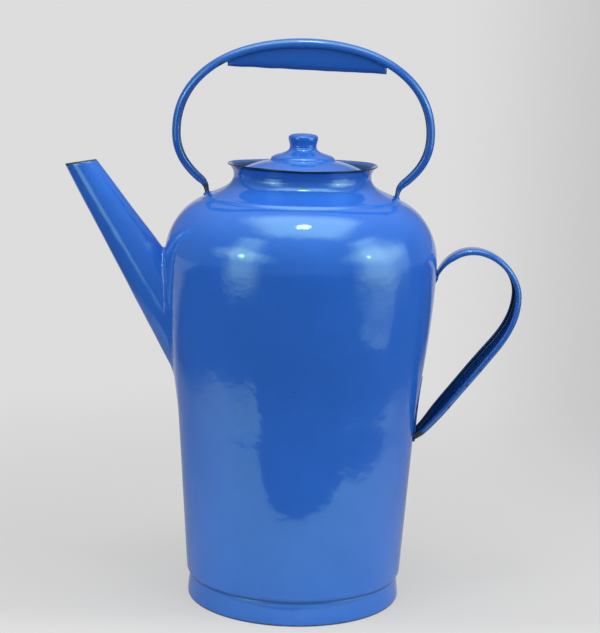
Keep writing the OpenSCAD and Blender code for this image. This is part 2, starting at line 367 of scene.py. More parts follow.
def make_body():
    inner = beside(WALL, SHEET)
    piece = revolve("pot_wall", WALL + inner[::-1], POT_TURNS, warped, chips(WALL_CHIPS))
    holes = []
    for row in range(-3, 4):
        for i in range(-2, 3):
            y = (i + (row % 2) / 2) * STRAINER_PITCH
            z = row * STRAINER_ROW_PITCH
            if (y / STRAINER_OVAL[0]) ** 2 + (z / STRAINER_OVAL[1]) ** 2 < 1:
                holes.append((5 - SHOULDER_R, y, STRAINER_Z + z))
    drill(piece, holes, STRAINER_R)
    return piece


def make_collar():
    """The neck, its flared lip, and the soft ridge where it laps the shoulder."""
    feather = 0.05
    lap = [shoulder_point(a) for a in (LAP_ANGLE, LAP_ANGLE + 3, LAP_ANGLE + 5.5, LEAVE_ANGLE)]
    waist = (NECK_R - SHEET, NECK_Z)
    inside = join(
        bez(*lap, 8),
        bez(lap[-1], NECK_TURN, (waist[0], 320), waist, 26),
        bez(waist, (waist[0], NECK_Z + 4), (RIM_R - 4, RIM_Z - 1.6), (RIM_R - LIP_SHEET, RIM_Z), 14),
    )
    last = len(inside) - 1

    def thickness(i):
        """From a feather edge to the full sheet, and thinner again at the lip."""
        rise = smooth(i, 0, 6)
        weight = smooth(i, last - 8, last)
        return -(feather + (SHEET - feather) * rise - (SHEET - LIP_SHEET - 0.1) * weight)

    outside = beside(inside, thickness)

    def move(x, y, z):
        """Dents the neck with the wall, and waves the lip up and down."""
        x, y, z = warped(x, y, z, 0.8)
        edge = smooth(hypot(x, y), NECK_R + 1, RIM_R) * smooth(z, NECK_Z, RIM_Z)
        turn = atan2(y, x)
        wave = 0.4 * sin(2 * turn + 0.7) + 0.2 * sin(5 * turn)
        return x, y, z + edge * (wave - 0.3)

    def rim_edge_and_shade(i, _):
        """The lip's dark edge, partly dark enamel and partly painted shade under its flare, and painted
        shade inside the neck that fades out towards the lip.
        """
        if i < last - 2:
            return 1.3 * (1 - smooth(i, last - 6, last - 2.5))
        return 2 * smooth(i, last - 2, last) * (1 - smooth(i, last + 3, last + 7))

    return revolve("neck", inside + outside[::-1], POT_TURNS, move, shade=rim_edge_and_shade)


def make_foot_ring():
    """A band with its lower edge turned in and worn bare, and a soft roll at its top."""
    r = RING_HIGH.y
    top = RING_HIGH.z
    hem_r = r - 4.3
    corner = (r - 1.4, 0)
    side = (r, 1.6)
    groove = (r - 1.5, top - 3)
    waist = (r - 2.6, top * 0.5)
    inner_corner = (r - 1.9, 1.6)
    outer = join(
        line((hem_r, 0), corner, 3),
        bez(corner, (r - 0.4, 0), (r, 0.5), side, 6),
        bez(side, (r - 0.3, 6), (r - 1.0, 12), groove, 14),
        bez(groove, (r - 1.0, top - 1.8), (r - 1.0, top + 0.2), (waist[0], top), 8),
    )
    inner = join(
        line((r - 3.2, top), waist, 6),
        line(waist, inner_corner, 5),
        line(inner_corner, (hem_r, 1.4), 2),
    )

    def move(x, y, z):
        return warped(x, y, z, 0.9)

    def bare(x, y, z):
        return 0.95 * (1 - smooth(z, 0.1, 2.6))

    return revolve("foot_band", outer + inner, POT_TURNS, move, bare)


# ---- the spout ----

SPOUT_AXIS = Vector((-sin(SPOUT_LEAN), SPOUT_BACK, cos(SPOUT_LEAN))).normalized()
SPOUT_SIDE = Vector((cos(SPOUT_LEAN), 0, sin(SPOUT_LEAN)))
SPOUT_ACROSS = SPOUT_AXIS.cross(SPOUT_SIDE)
SPOUT_ROOT = Vector((-wall_r(SPOUT_ROOT_Z), 0, SPOUT_ROOT_Z))
SPOUT_TIP = SPOUT_ROOT + SPOUT_AXIS * SPOUT_LEN
SPOUT_TAPER = (SPOUT_ROOT_R - SPOUT_TIP_R) / SPOUT_LEN
CUT_NORMAL = Vector((-sin(SPOUT_CUT), SPOUT_TURN, cos(SPOUT_CUT))).normalized()

# The weld bead: its reach from the corner, how far that wanders broadly and finely, and its bulge
BEAD_REACH = 4.8
BEAD_WANDER = (1.8, 1.3)
BEAD_BULGE = (0.8, 2.6)


def spout_out(turn):
    return SPOUT_SIDE * cos(turn) + SPOUT_ACROSS * sin(turn)


def spout_point(s, turn, inset=0.0):
    return SPOUT_ROOT + SPOUT_AXIS * s + spout_out(turn) * (SPOUT_ROOT_R - SPOUT_TAPER * s - inset)


def spout_tip(turn):
    """Distance along the spout's centre line at which its wall meets the cut."""
    out = spout_out(turn)
    reach = CUT_NORMAL.dot(SPOUT_ROOT - SPOUT_TIP) + SPOUT_ROOT_R * CUT_NORMAL.dot(out)
    return -reach / (CUT_NORMAL.dot(SPOUT_AXIS) - SPOUT_TAPER * CUT_NORMAL.dot(out))


def stands_off(p):
    """How far a point stands off the pot's warped wall."""
    return hypot(p.x, p.y) - wall_r(p.z) - warp(p.x, p.y, p.z)


def halve(low, high, rounds, is_low):
    """The ends of the span in which is_low changes from true to false, after halving it."""
    for _ in range(rounds):
        middle = (low + high) / 2
        if is_low(middle):
            low = middle
        else:
            high = middle
    return low, high


def spout_foot(turn):
    """Distance along the spout's centre line at which its wall comes out of the pot's."""
    return halve(-60.0, 90.0, 26, lambda s: stands_off(spout_point(s, turn)) <= 0)[1]


def on_wall(p, lift):
    """The point of the pot's wall nearest p, lifted off it."""
    r = hypot(p.x, p.y)
    k = (wall_r(p.z) + warp(p.x, p.y, p.z) + lift) / r
    return Vector((p.x * k, p.y * k, p.z))


def spout_column(turn):
    """Points of the spout over its rounded lip, down its outside, over the bead and up its inside."""
    outer_steps = 70
    inner_steps = 20
    lip = 0.5
    sunk = 0.3
    top = spout_tip(turn)
    foot = spout_foot(turn)
    root = spout_point(foot, turn)
    out = spout_out(turn)
    wall_out = Vector((root.x, root.y, 0)).normalized()
    away = (out - wall_out * out.dot(wall_out)).normalized()
    broad = noise.noise(Vector((cos(turn) * 3.1, sin(turn) * 3.1, 4)))
    fine = noise.noise(Vector((cos(turn) * 12, sin(turn) * 12, 9)))
    reach = BEAD_REACH + BEAD_WANDER[0] * broad + BEAD_WANDER[1] * fine
    start = spout_point(foot + reach, turn)
    end = on_wall(root + away * reach, -0.12)
    middle = root + (wall_out + away).normalized() * (BEAD_BULGE[0] + BEAD_BULGE[1] * max(0, fine))
    column = [spout_point(top + up, turn, inset) for up, inset in ((0, 1.0), (0.25, 0.65), (0, 0.25))]
    for i in range(1, outer_steps + 1):
        s = top - lip + (foot + reach - top + lip) * (i / outer_steps)
        p = spout_point(s, turn)
        p += out * (0.16 * noise.noise(p / 17) + 0.2 * noise.noise(p / 45))
        column.append(p)
    bead = bez(start, root * 0.35 + start * 0.25 + middle * 0.4,
               root * 0.35 + end * 0.25 + middle * 0.4, end, 10)
    column += [Vector(p) for p in bead[1:]]
    column.append(on_wall(root + away * (reach - 1), -1.2))
    for i in range(inner_steps + 1):
        s = foot + sunk + (top - lip - foot - sunk) * (i / inner_steps)
        column.append(spout_point(s, turn, SHEET))
    return column


def make_spout():
    """A tapered tube with a soft, uneven weld bead where it meets the wall."""
    columns = [spout_column(2 * pi * j / SPOUT_TURNS) for j in range(SPOUT_TURNS)]

    def bare(x, y, z):
        deep = -CUT_NORMAL.dot(Vector((x, y, z)) - SPOUT_TIP)
        return 1 - smooth(deep, 0.5, 2.0)

    return mesh("spout_tube", list(zip(*columns)), close_rows=True, bare=bare)


# ---- strap handles ----

# Largest radius of a channel's lower corners, and of the roll along its edges with the angle it turns
CORNER_R = 4.6
HEM_R = 1.2
HEM_TURN = radians(165)
# Depth and length of the unevenness along a strap
STRAP_WAVE = (0.14, 30)


def channel(width, depth):
    """Outline of a rolled-edge channel as (across, depth) points, closed."""
    t = STRAP_SHEET
    half = (width - t) / 2
    floor = t / 2
    room = max(0.2, depth - t)
    corner = min(CORNER_R, room * 0.72)
    hem = min(HEM_R, room * 0.2)
    side = []
    for i in range(7):
        x = (half - corner) * i / 6
        side.append((x, floor + 0.5 * min(1, room / 4) * (x / half) ** 2))
    lift = side[-1][1] - floor
    for i in range(1, 7):
        a = pi / 2 * i / 6
        side.append((half - corner + corner * sin(a), floor + lift + (corner - lift) * (1 - cos(a))))
    low = side[-1][1]
    high = max(low + 0.05, depth - hem - t / 2)
    side += line((half, low), (half, high), 3)[1:]
    for i in range(1, 8):
        a = HEM_TURN * i / 7
        side.append((half - hem + hem * cos(a), high + hem * sin(a)))
    centre = [(-x, d) for x, d in side[:0:-1]] + side
    left = beside(centre, t / 2)
    right = beside(centre, -t / 2)
    return right + left[::-1]


def strap(name, path, widths, depths, bare, twists=((0, 0), (1, 0))):
    """A channel swept along a path of (x, z) points, open to the path's right.

    widths, depths and twists are tables along its length. A twist, in degrees, turns its hollow to -Y.
    """
    lengths = [0.0]
    for a, b in zip(path, path[1:]):
        lengths.append(lengths[-1] + hypot(b[0] - a[0], b[1] - a[1]))
    rows = []
    for i, (x, z) in enumerate(path):
        run = heading(path, i)
        right = (run[1], -run[0])
        s = lengths[i] / lengths[-1]
        row = []
        twist = radians(table(s, twists))
        for side, down in channel(table(s, widths), table(s, depths)):
            across = side * cos(twist) - down * sin(twist)
            deep = down * cos(twist) + side * sin(twist)
            p = Vector((x + right[0] * deep, across, z + right[1] * deep))
            p += Vector((right[0], 0.6, right[1])) * STRAP_WAVE[0] * noise.noise(p / STRAP_WAVE[1])
            row.append(p)
        rows.append(row)
    edge = len(rows[0]) // 4

    # Painted shade on the channel's inner face and on the inner turn of its rolled edges
    def inside(_, j):
        return 1 if j >= 2 * edge else smooth(abs(j - edge), edge - 6, edge - 3)

    shell = mesh(name, rows, bare=bare, shade=inside)
    cap_ends(shell)
    return shell


# Tables along the arch from its left foot: share of its length, and the channel's width or depth
ARCH_WIDTHS = [(0, 12), (0.02, 10), (0.04, 11), (0.13, 17), (0.3, ARCH_HIGH.y * 2), (0.7, ARCH_HIGH.y * 2),
               (0.87, 17), (0.96, 11), (0.98, 10), (1, 12)]
ARCH_DEPTHS = [(0, 3), (0.014, 3), (0.034, 5.7), (0.25, 6.1), (0.5, 7.4), (0.75, 6.1), (0.966, 5.7),
               (0.986, 3), (1, 3)]
ARCH_CHIPS = [
    (-90, -8, 331, 4.5), (-86, -9, 327, 3), (-62, -9, 411, 5), (-55, -10, 413, 3), (-75, -4, 318, 7),
    (75, -3, 317, 5), (-98, -10, 352, 2), (96, -10, 345, 2), (90, 9, 392, 3),
]
# The arch as seen from the front: the foot of a leg, the bend above it, and where the arch is widest
ARCH_FOOT = (73.6, 311.2)
ARCH_BEND = (79.6, 322.9)
ARCH_WIDEST_Z = 361


def arch_path():
    widest = (ARCH_HIGH.x, ARCH_WIDEST_Z)
    top = ARCH_HIGH.z
    right = join(
        bez(ARCH_FOOT, (ARCH_FOOT[0], 318), (75, 320.2), ARCH_BEND, 14),
        bez(ARCH_BEND, (93.2, 334), (widest[0], 346), widest, 24),
        bez(widest, (widest[0], 403.3), (60, top), (0, top), 40),
    )
    left = [(-x, z) for x, z in right]
    return join(left, right[::-1])


def make_arch():
    return strap("arch_strap", arch_path(), ARCH_WIDTHS, ARCH_DEPTHS, chips(ARCH_CHIPS))


# The grip: where along X it lies, how far it stays inside the arch's side and under its crown, its skin,
# its lower edge with the slope of that, its least depth, and the radius of its corners
GRIP_MIDDLE = 2
GRIP_HALF_LENGTH = 61.5
GRIP_INSET = 1.9
GRIP_TUCK = 2.3
GRIP_SKIN = 1.1
GRIP_LOW_Z = 408.5
GRIP_SLOPE = -0.027
GRIP_LEAST = 3.2
GRIP_CORNER = 4.2
GRIP_CHIPS = [(-58.5, -9, 410.5, 3.5), (63, -9, 407.5, 3)]


def make_grip():
    """A closed boat of sheet, straight below, tucked up into the arch's channel."""
    half = ARCH_HIGH.y - GRIP_INSET
    arch = [p for p in arch_path() if abs(p[0] - GRIP_MIDDLE) < GRIP_HALF_LENGTH]
    rows = []
    for x, z in arch:
        top = z - GRIP_TUCK
        wobble = 0.35 * noise.noise(Vector((x / 11, 3, 0)))
        bottom = min(GRIP_LOW_Z + GRIP_SLOPE * x + wobble, top - GRIP_LEAST)
        soft = min(GRIP_CORNER, (top - bottom) * 0.45)
        side = join(
            line((half, top), (half, bottom + soft), 6),
            bez((half, bottom + soft), (half, bottom + soft * 0.4), (half - soft * 0.6, bottom),
                (half - soft, bottom), 6),
        )
        outer = side + [(-y, h) for y, h in side[::-1]]
        inner = [(y * (half - GRIP_SKIN) / half, h + (GRIP_SKIN if h < top - 0.1 else 0)) for y, h in outer]
        rows.append([(x, y, h) for y, h in outer + inner[::-1]])
    piece = mesh("grip_boat", rows, bare=chips(GRIP_CHIPS))
    cap_ends(piece)
    return piece


# Tables along the rear handle from its upper end: share of its length, and width, depth or twist
REAR_WIDTHS = [(0, 8), (0.037, 13), (0.12, 18), (0.345, 21), (0.71, REAR_HIGH.y * 2), (0.89, 23), (1, 15)]
REAR_DEPTHS = [(0, 1.3), (0.03, 1.8), (0.11, 4.6), (0.345, 4.8), (0.64, 5.6), (0.9, 5.6), (0.96, 5.4),
               (1, 5.2)]
REAR_TWISTS = [(0, 0), (0.35, 0), (0.6, 9), (0.85, 10), (1, 6)]
REAR_CHIPS = [
    (160, -11, 236, 2.2), (141, -12, 184, 3), (131, -12, 172, 2), (118, -11, 155, 3), (112, -10, 148, 2.4),
    (96, -7, 130, 7), (152, -12, 199, 1.8), (107, -9, 141, 3), (165, -10, 250, 1.6), (96, 0, 128, 5),
    (104, -6, 256, 3),
]
# The rear handle as seen from the front: its upper root, its crest, its rearmost point, and the ends of
# the straight run down to the wall
REAR_ROOT_Z = 255
REAR_CREST_X = 132.5
REAR_MOST_Z = 241
REAR_RUN = ((152, 197.9), (106, 139.5))
TAB_CHIPS = [(94, -5, 152, 4), (92, -6, 129, 6)]


def wall_at(z):
    """Distance of the uneven wall from the axis, on the handle's side."""
    return wall_r(z) + warp(wall_r(z), 0, z) - 0.1


def rear_path():
    crest = (REAR_CREST_X, REAR_HIGH.z)
    rearmost = (REAR_HIGH.x, REAR_MOST_Z)
    run_top, run_end = REAR_RUN
    return join(
        [(wall_at(z) - 1.2 * (252.5 - z) / 3, z) for z in (249.5, 251, 252.5)],
        bez((wall_at(REAR_ROOT_Z), REAR_ROOT_Z), (105.5, 262), (114, crest[1]), crest, 22),
        bez(crest, (151, crest[1]), (rearmost[0], 259.5), rearmost, 22),
        bez(rearmost, (rearmost[0], 224), (162, 210.5), run_top, 18),
        line(run_top, run_end, 24),
        bez(run_end, (100.5, 132.5), (98, 130), (93.5, 127.4), 8),
    )


def meet_wall(shell, path):
    """Runs the strap's last row on until it is sunk a little into the pot's wall."""
    sunk = 0.4
    end = Vector((path[-1][0], 0, path[-1][1]))
    run = (end - Vector((path[-2][0], 0, path[-2][1]))).normalized()
    for vert in shell.data.vertices:
        p = vert.co / MM
        if abs((p - end).dot(run)) < 0.4 and (p - end).length < REAR_WIDTHS[-1][1] + 10:
            further = halve(-12.0, 25.0, 24, lambda s: stands_off(p + run * s) > -sunk)[0]
            vert.co = (p + run * further) * MM


def make_rear_handle():
    path = rear_path()
    shell = strap("rear_strap", path, REAR_WIDTHS, REAR_DEPTHS, chips(REAR_CHIPS), REAR_TWISTS)
    meet_wall(shell, path)
    return shell


def make_rear_tab():
    """The strap's folded end, flat on the wall above where the strap meets it."""
    path = [(wall_at(z) - 0.4, z) for z in range(125, 177, 3)]
    widths = [(0, 13), (0.5, 12), (1, 6)]
    depths = [(0, 2.2), (0.5, 1.7), (1, 1.2)]
    return strap("rear_tab", path, widths, depths, chips(TAB_CHIPS))


# Weld lumps: name, CAD node, middle, and radii along X, Y and Z
WELDS = [
    ("weld_left", "top_handle_strap", (-69, 0, 312.8), (6, 6, 2.4)),
    ("weld_right", "top_handle_strap", (69, 0, 312.8), (6, 6, 2.4)),
    ("weld_rear", "rear_handle_strap", (wall_at(REAR_ROOT_Z), 0, REAR_ROOT_Z), (2.4, 5.5, 4.5)),
]


def make_weld(name, middle, radii):
    """A lump of weld metal under enamel."""
    rings = 16
    turns = 28
    rows = []
    for i in range(rings + 1):
        tilt = pi * (i / rings - 0.5)
        row = []
        for j in range(turns):
            turn = 2 * pi * j / turns
            out = Vector((cos(tilt) * cos(turn), cos(tilt) * sin(turn), sin(tilt)))
            size = 1 + 0.22 * noise.noise(out * 1.7 + Vector(middle)) + 0.07 * noise.noise(out * 5)
            row.append(tuple(m + r * size * o for m, r, o in zip(middle, radii, out)))
        rows.append(row)
    return mesh(name, rows, bare=chips([(middle[0] * 1.06, -6, middle[2] + 1, 5)]))


# ---- lid ----

def make_cover():
    """The boss that the knob stands on, a small step, the dome and the flat brim."""
    boss_side = (19, 345.3)
    boss_foot = (24.4, 341.6)
    dome_top = (26, 340.4)
    dome_foot = (BRIM_R - 2.4, BRIM_Z + SHEET + 0.5)
    top = join(
        [(STEM_HOLE_R, BOSS_Z)],
        bez((KNOB_NECK_R, BOSS_Z), (KNOB_NECK_R + 0.2, 347.4), (15, 346.6), boss_side, 16),
        bez(boss_side, (21.8, 344.4), (23.8, 343.6), boss_foot, 10),
        bez(boss_foot, (24.6, 340.9), (25, 340.6), dome_top, 4),
        bez(dome_top, (34, 339), (42.5, 335.8), dome_foot, 26),
        line(dome_foot, (BRIM_R - 0.3, BRIM_Z + SHEET), 4),
    )
    edge = [(BRIM_R, BRIM_Z + SHEET - 0.4), (BRIM_R, BRIM_Z + 0.2)]
    under = [(max(STEM_HOLE_R, r), max(BRIM_Z, z)) for r, z in beside(top, -SHEET)[::-1]]

    def move(x, y, z):
        return x, y, z + 0.12 * noise.noise(Vector((x, y, z)) / 14) * smooth(hypot(x, y), 12, 24)

    return revolve("lid_dome", top + edge + under, LID_TURNS, move)


def make_skirt():
    """The ring under the lid, its lower edge turned in and worn."""
    r = SKIRT_HIGH.y
    low, high = SKIRT_LOW.z, SKIRT_HIGH.z
    outer = join(bez((r - 2, low), (r - 0.8, low + 0.4), (r, low + 1.2), (r, low + 3), 8),
                 line((r, low + 3), (r, high), 10))
    inner = beside(outer, 1.0)

    def bare(x, y, z):
        return 0.9 * (1 - smooth(z, low + 0.2, low + 2))

    return revolve("lid_ring", outer + inner[::-1], SKIRT_TURNS, bare=bare)


def make_knob():
    """A waisted, hollow knob, with the crimped neck that goes down through the lid."""
    widest = (KNOB_R, KNOB_Z - 3.6)
    floor = BOSS_Z + 1.2
    outer = join(
        bez((KNOB_NECK_R, BOSS_Z), (KNOB_NECK_R - 0.2, BOSS_Z + 3), (KNOB_R, KNOB_Z - 6), widest, 18),
        bez(widest, (KNOB_R, KNOB_Z - 1.2), (8, KNOB_Z - 0.1), (0, KNOB_Z), 20),
    )
    inner = [(max(r, 0), max(z, floor)) for r, z in beside(outer, 1.2)]
    neck = [(3, floor), (3, KNOB_LOW.z), (5.4, KNOB_LOW.z), (5.4, KNOB_LOW.z + 0.8),
            (4, KNOB_LOW.z + 1), (4, BOSS_Z)]
    return revolve("knob", outer + inner[::-1] + neck, KNOB_TURNS)


# ---- node trees ----

class Nodes:
    """Short calls for building one node tree."""

    def __init__(self, tree):
        self.tree = tree
        tree.nodes.clear()

    def add(self, kind, **settings):
        made = self.tree.nodes.new(kind)
        for key, value in settings.items():
            setattr(made, key, value)
        return made

    def put(self, socket, value):
        if isinstance(value, bpy.types.NodeSocket):
            self.tree.links.new(value, socket)
        elif hasattr(socket.default_value, "__len__") and not isinstance(value, (int, float)):
            socket.default_value = tuple(value) + (1,) * (len(socket.default_value) - len(value))
        else:
            socket.default_value = value

    def fill(self, kind, *values, **settings):
        """The first output of a new node whose first inputs are given values."""
        made = self.add(kind, **settings)
        for socket, value in zip(made.inputs, values):
            self.put(socket, value)
        return made.outputs[0]

    def ramp(self, value, low, high, low_out=0.0, high_out=1.0):
        return self.fill("ShaderNodeMapRange", value, low, high, low_out, high_out,
                         interpolation_type="SMOOTHSTEP")

    def maths(self, kind, a, b=0.0, c=0.0):
        return self.fill("ShaderNodeMath", a, b, c, operation=kind)

    def times(self, a, b):
        return self.maths("MULTIPLY", a, b)

    def far(self, x, y):
        """Distance of (x, y) from the origin."""
        return self.maths("SQRT", self.maths("ADD", self.times(x, x), self.times(y, y)))

    def apart(self, vector):
        """The X, Y and Z of a vector."""
        made = self.add("ShaderNodeSeparateXYZ")
        self.put(made.inputs[0], vector)
        return made.outputs

    def blend(self, factor, a, b):
        """Shader a where factor is 0, and b where it is 1."""
        return self.fill("ShaderNodeMixShader", factor, a, b)

    def for_camera(self, reflected, seen):
        """One shader for the camera's own rays, and another for all that is lit by it or mirrors it."""
        return self.blend(self.add("ShaderNodeLightPath").outputs["Is Camera Ray"], reflected, seen)

    def end(self, kind, shader):
        self.put(self.add(kind).inputs[0], shader)


class Material(Nodes):
    """The node tree of a new material, in the coordinates of the object that wears it."""

    def __init__(self, name):
        self.material = bpy.data.materials.new(name)
        self.material.use_nodes = True
        super().__init__(self.material.node_tree)
        self.coords = self.add("ShaderNodeTexCoord").outputs["Object"]

    def noise(self, size, detail=2.0, rough=0.5, stretch=(1, 1, 1)):
        """Noise from 0 to 1 whose blobs measure about size mm."""
        move = self.add("ShaderNodeMapping")
        self.put(move.inputs["Vector"], self.coords)
        self.put(move.inputs["Scale"], stretch)
        made = self.add("ShaderNodeTexNoise")
        self.put(made.inputs["Vector"], move.outputs[0])
        self.put(made.inputs["Scale"], 1 / (size * MM))
        self.put(made.inputs["Detail"], detail)
        self.put(made.inputs["Roughness"], rough)
        return made.outputs["Fac"]

    def spots(self, size, radius):
        """1 inside scattered round spots, one in each cell of about size mm."""
        made = self.add("ShaderNodeTexVoronoi")
        self.put(made.inputs["Vector"], self.coords)
        self.put(made.inputs["Scale"], 1 / (size * MM))
        return self.ramp(made.outputs["Distance"], radius, radius * 0.6)

    def measure(self, name):
        """A value that the mesh holds at each of its points."""
        return self.add("ShaderNodeAttribute", attribute_name=name).outputs["Fac"]

    def mix(self, factor, a, b):
        made = self.add("ShaderNodeMix", data_type="RGBA")
        self.put(made.inputs[0], factor)
        self.put(made.inputs[6], a)
        self.put(made.inputs[7], b)
        return made.outputs[2]

    def bump(self, height, strength, distance, normal=None):
        made = self.add("ShaderNodeBump")
        self.put(made.inputs["Height"], height)
        self.put(made.inputs["Strength"], strength)
        self.put(made.inputs["Distance"], distance * MM)
        if normal:
            self.put(made.inputs["Normal"], normal)
        return made.outputs[0]

    def finish(self, **sockets):
        """Sets the surface shader's sockets by name, with _ for a space."""
        shader = self.add("ShaderNodeBsdfPrincipled")
        for key, value in sockets.items():
            self.put(shader.inputs[key.replace("_", " ")], value)
        self.end("ShaderNodeOutputMaterial", shader.outputs[0])
        return self.material


# ---- materials ----

BLUE = (0.0235, 0.127, 0.555)
NEARLY_BLACK = (0.003, 0.006, 0.016)
SPECK = (0.012, 0.014, 0.022)
CHIP_EDGE = (0.006, 0.012, 0.040)
BARE_STEEL = (0.010, 0.009, 0.010)
RUST = (0.060, 0.034, 0.022)
CHIP_ROUGHNESS = (0.62, 0.62, 0.62)
ENAMEL_IOR = 1.66
ENAMEL_TINT = (0.55, 1.0, 0.78)
ALUMINIUM = (0.62, 0.63, 0.64)
COFFEE = (0.30, 0.22, 0.14)


def scaled(colour, by):
    return tuple(c * by for c in colour)


def enamel(name, colour=BLUE, wear=0.5, peel_by=1.0):
    """Glossy enamel that has chipped to dark steel where the mesh says it is worn more than wear.

    peel_by is the strength of its orange peel.
    """
    n = Material(name)
    # Cloudy and fine unevenness of the colour, and a few dark specks
    body = n.mix(n.ramp(n.noise(38, 3, 0.55), 0.3, 0.72), scaled(colour, 0.93), colour)
    body = n.mix(n.ramp(n.noise(1.6, 2, 0.6), 0.42, 0.75, 0, 0.26), body, scaled(colour, 0.72))
    specks = n.times(n.spots(7, 0.055), n.ramp(n.noise(24, 2), 0.55, 0.62))
    body = n.mix(n.times(specks, 0.85), body, SPECK)

    # Painted shade in hollows, and at the neck's lip a nearly black edge that is partly dark enamel and
    # partly painted shade; then worn spots with a ragged outline and a dark edge
    weight = n.measure("weight")
    body = n.mix(n.ramp(weight, 0, 1), body, scaled(colour, 0.45))
    body = n.mix(n.ramp(weight, 1, 2), body, NEARLY_BLACK)
    bare = n.measure("bare")
    ragged = n.times(n.maths("SUBTRACT", n.noise(2.6, 4, 0.65), 0.5), n.ramp(bare, 0, 0.2, 0, 1.1))
    worn = n.maths("ADD", bare, ragged)
    chip = n.ramp(worn, wear + 0.04, wear + 0.09)
    halo = n.ramp(worn, wear - 0.06, wear + 0.03)
    steel = n.mix(n.ramp(n.noise(1.3, 4, 0.7), 0.4, 0.7), BARE_STEEL, RUST)
    body = n.mix(n.times(halo, 0.75), body, CHIP_EDGE)
    body = n.mix(chip, body, steel)

    # Fine and broad orange peel, with the chips sunk in
    peel = n.bump(n.noise(4.5, 2, 0.5), 0.20 * peel_by, 0.5)
    peel = n.bump(n.noise(14, 1, 0.5), 0.16 * peel_by, 1.2, peel)
    chipped = n.bump(n.times(chip, -1), 0.9, 0.25, peel)
    rough = n.mix(chip, n.ramp(n.noise(9, 3, 0.6), 0.3, 0.8, 0.045, 0.10), CHIP_ROUGHNESS)
    return n.finish(Base_Color=body, Roughness=rough, Normal=chipped, IOR=ENAMEL_IOR,
                    Specular_Tint=ENAMEL_TINT)


def spun_metal(name):
    """Dull spun aluminium, with rings from the lathe and a coffee stain here and there."""
    n = Material(name)
    rings = n.noise(0.9, 2, 0.6, stretch=(0.15, 0.15, 1))
    stain = n.ramp(n.noise(16, 4, 0.65), 0.52, 0.7, 0, 0.55)
    body = n.mix(n.ramp(rings, 0.3, 0.7, 0, 0.35), ALUMINIUM, scaled(ALUMINIUM, 0.78))
    body = n.mix(stain, body, COFFEE)
    rough = n.ramp(rings, 0.3, 0.7, 0.28, 0.46)
    return n.finish(Base_Color=body, Metallic=1.0, Roughness=rough, Normal=n.bump(rings, 0.25, 0.15))


def repaint(node, material):
    """Gives a CAD node that stays in view its material."""
    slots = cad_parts[node].data.materials
    slots.clear()
    slots.append(material)


# ---- stage ----

CAMERA_AT = (0.0007, -1.240, 0.4408)
CAMERA_PITCH = radians(10.08)
CAMERA_ROLL = radians(1.39)
CAMERA_LENS = 92.9
# Tone of the ground and the world as the camera sees them, to the left and the right, and the sines of
# the angles off its axis between which one goes over into the other
# The darker right side is painted shade: the light falling off towards the right
PALE_LEFT = 0.72
PALE_RIGHT = 0.575
PALE_TURN = (0.08, 0.20)

# Upright panels: name, azimuth in degrees, distance, lower and upper edge, width, radiance, soft part
PANELS = [
    ("left_tail", -48, 1.06, -0.02, 1.38, 0.74, 2.2, (0.8, 0.25)),
    ("left_core", -50, 1.00, 0.42, 0.84, 1.34, 2.8, 0.85),
    ("left_spot", -50, 0.98, 0.52, 0.66, 0.14, 12, 0.9),
    ("right_tail", 65, 0.84, 0.0, 1.10, 0.78, 2.7, (0.8, 0.35)),
    ("right_fill", 90, 0.84, 0.0, 0.90, 0.36, 1.0, (0.8, 0.8)),
    ("right_core", 65, 0.82, 0.36, 0.82, 1.30, 2.5, 0.85),
    ("right_spot", 60, 0.79, 0.48, 0.60, 0.12, 11, 0.9),
]
# Lights overhead: name, place, size along X and Y, radiance, soft part
OVERHEADS = [
    ("overhead", (0.05, -0.30, 1.5), 1.9, 1.5, 3.3, (0.6, 0.6)),
    ("overhead_core", (0.03, -0.35, 1.48), 0.28, 0.26, 30, 0.9),
]


def make_camera():
    data = bpy.data.cameras.new("camera")
    data.lens = CAMERA_LENS
    data.sensor_width = 36
    data.clip_start = 0.01
    camera = bpy.data.objects.new("camera", data)
    camera.location = CAMERA_AT
    tilt = Euler((pi / 2 - CAMERA_PITCH, 0, 0)).to_matrix()
    roll = Euler((0, 0, CAMERA_ROLL)).to_matrix()
    camera.rotation_euler = (tilt @ roll).to_euler()
    bpy.context.scene.collection.objects.link(camera)
    bpy.context.scene.camera = camera


def soft_light(name, at, back, width, tall, radiance, soft):
    """A rectangle that glows, with back pointing away from what it lights.

    Its brightness fades over its outer part. soft is that part of its half width and half height,
    or one number for a light that fades as an ellipse.
    """
    data = bpy.data.lights.new(name, "AREA")
    data.shape = "RECTANGLE"
    data.size = width
    data.size_y = tall
    data.energy = radiance * pi * width * tall
    data.use_nodes = True
    n = Nodes(data.node_tree)
    sides = n.apart(n.add("ShaderNodeNewGeometry").outputs["Parametric"])[:2]
    across, along = (n.maths("ABSOLUTE", n.maths("MULTIPLY_ADD", side, 2, -1)) for side in sides)
    if isinstance(soft, tuple):
        glow = n.times(n.ramp(across, 1 - soft[0], 1, 1, 0), n.ramp(along, 1 - soft[1], 1, 1, 0))
    else:
        glow = n.ramp(n.far(across, along), 1 - soft, 1, 1, 0)
    shine = n.add("ShaderNodeEmission")
    n.put(shine.inputs["Strength"], glow)
    n.end("ShaderNodeOutputLight", shine.outputs[0])
    lamp = bpy.data.objects.new(name, data)
    lamp.location = at
    lamp.rotation_euler = back.to_track_quat("Z", "Y").to_euler()
    lamp.visible_camera = False
    bpy.context.scene.collection.objects.link(lamp)


def panel(name, azimuth, distance, low, high, width, radiance, soft):
    """An upright soft panel that faces the pot, from low to high above the floor.

    azimuth is in degrees, from the camera's side round towards +X.
    """
    a = radians(azimuth)
    out = Vector((sin(a), -cos(a), 0))
    at = out * distance + Vector((0, 0, (low + high) / 2))
    soft_light(name, at, out, width, high - low, radiance, soft)


def make_lights():
    for row in PANELS:
        panel(*row)
    for name, at, width, deep, radiance, soft in OVERHEADS:
        soft_light(name, at, Vector((0, 0, 1)), width, deep, radiance, soft)


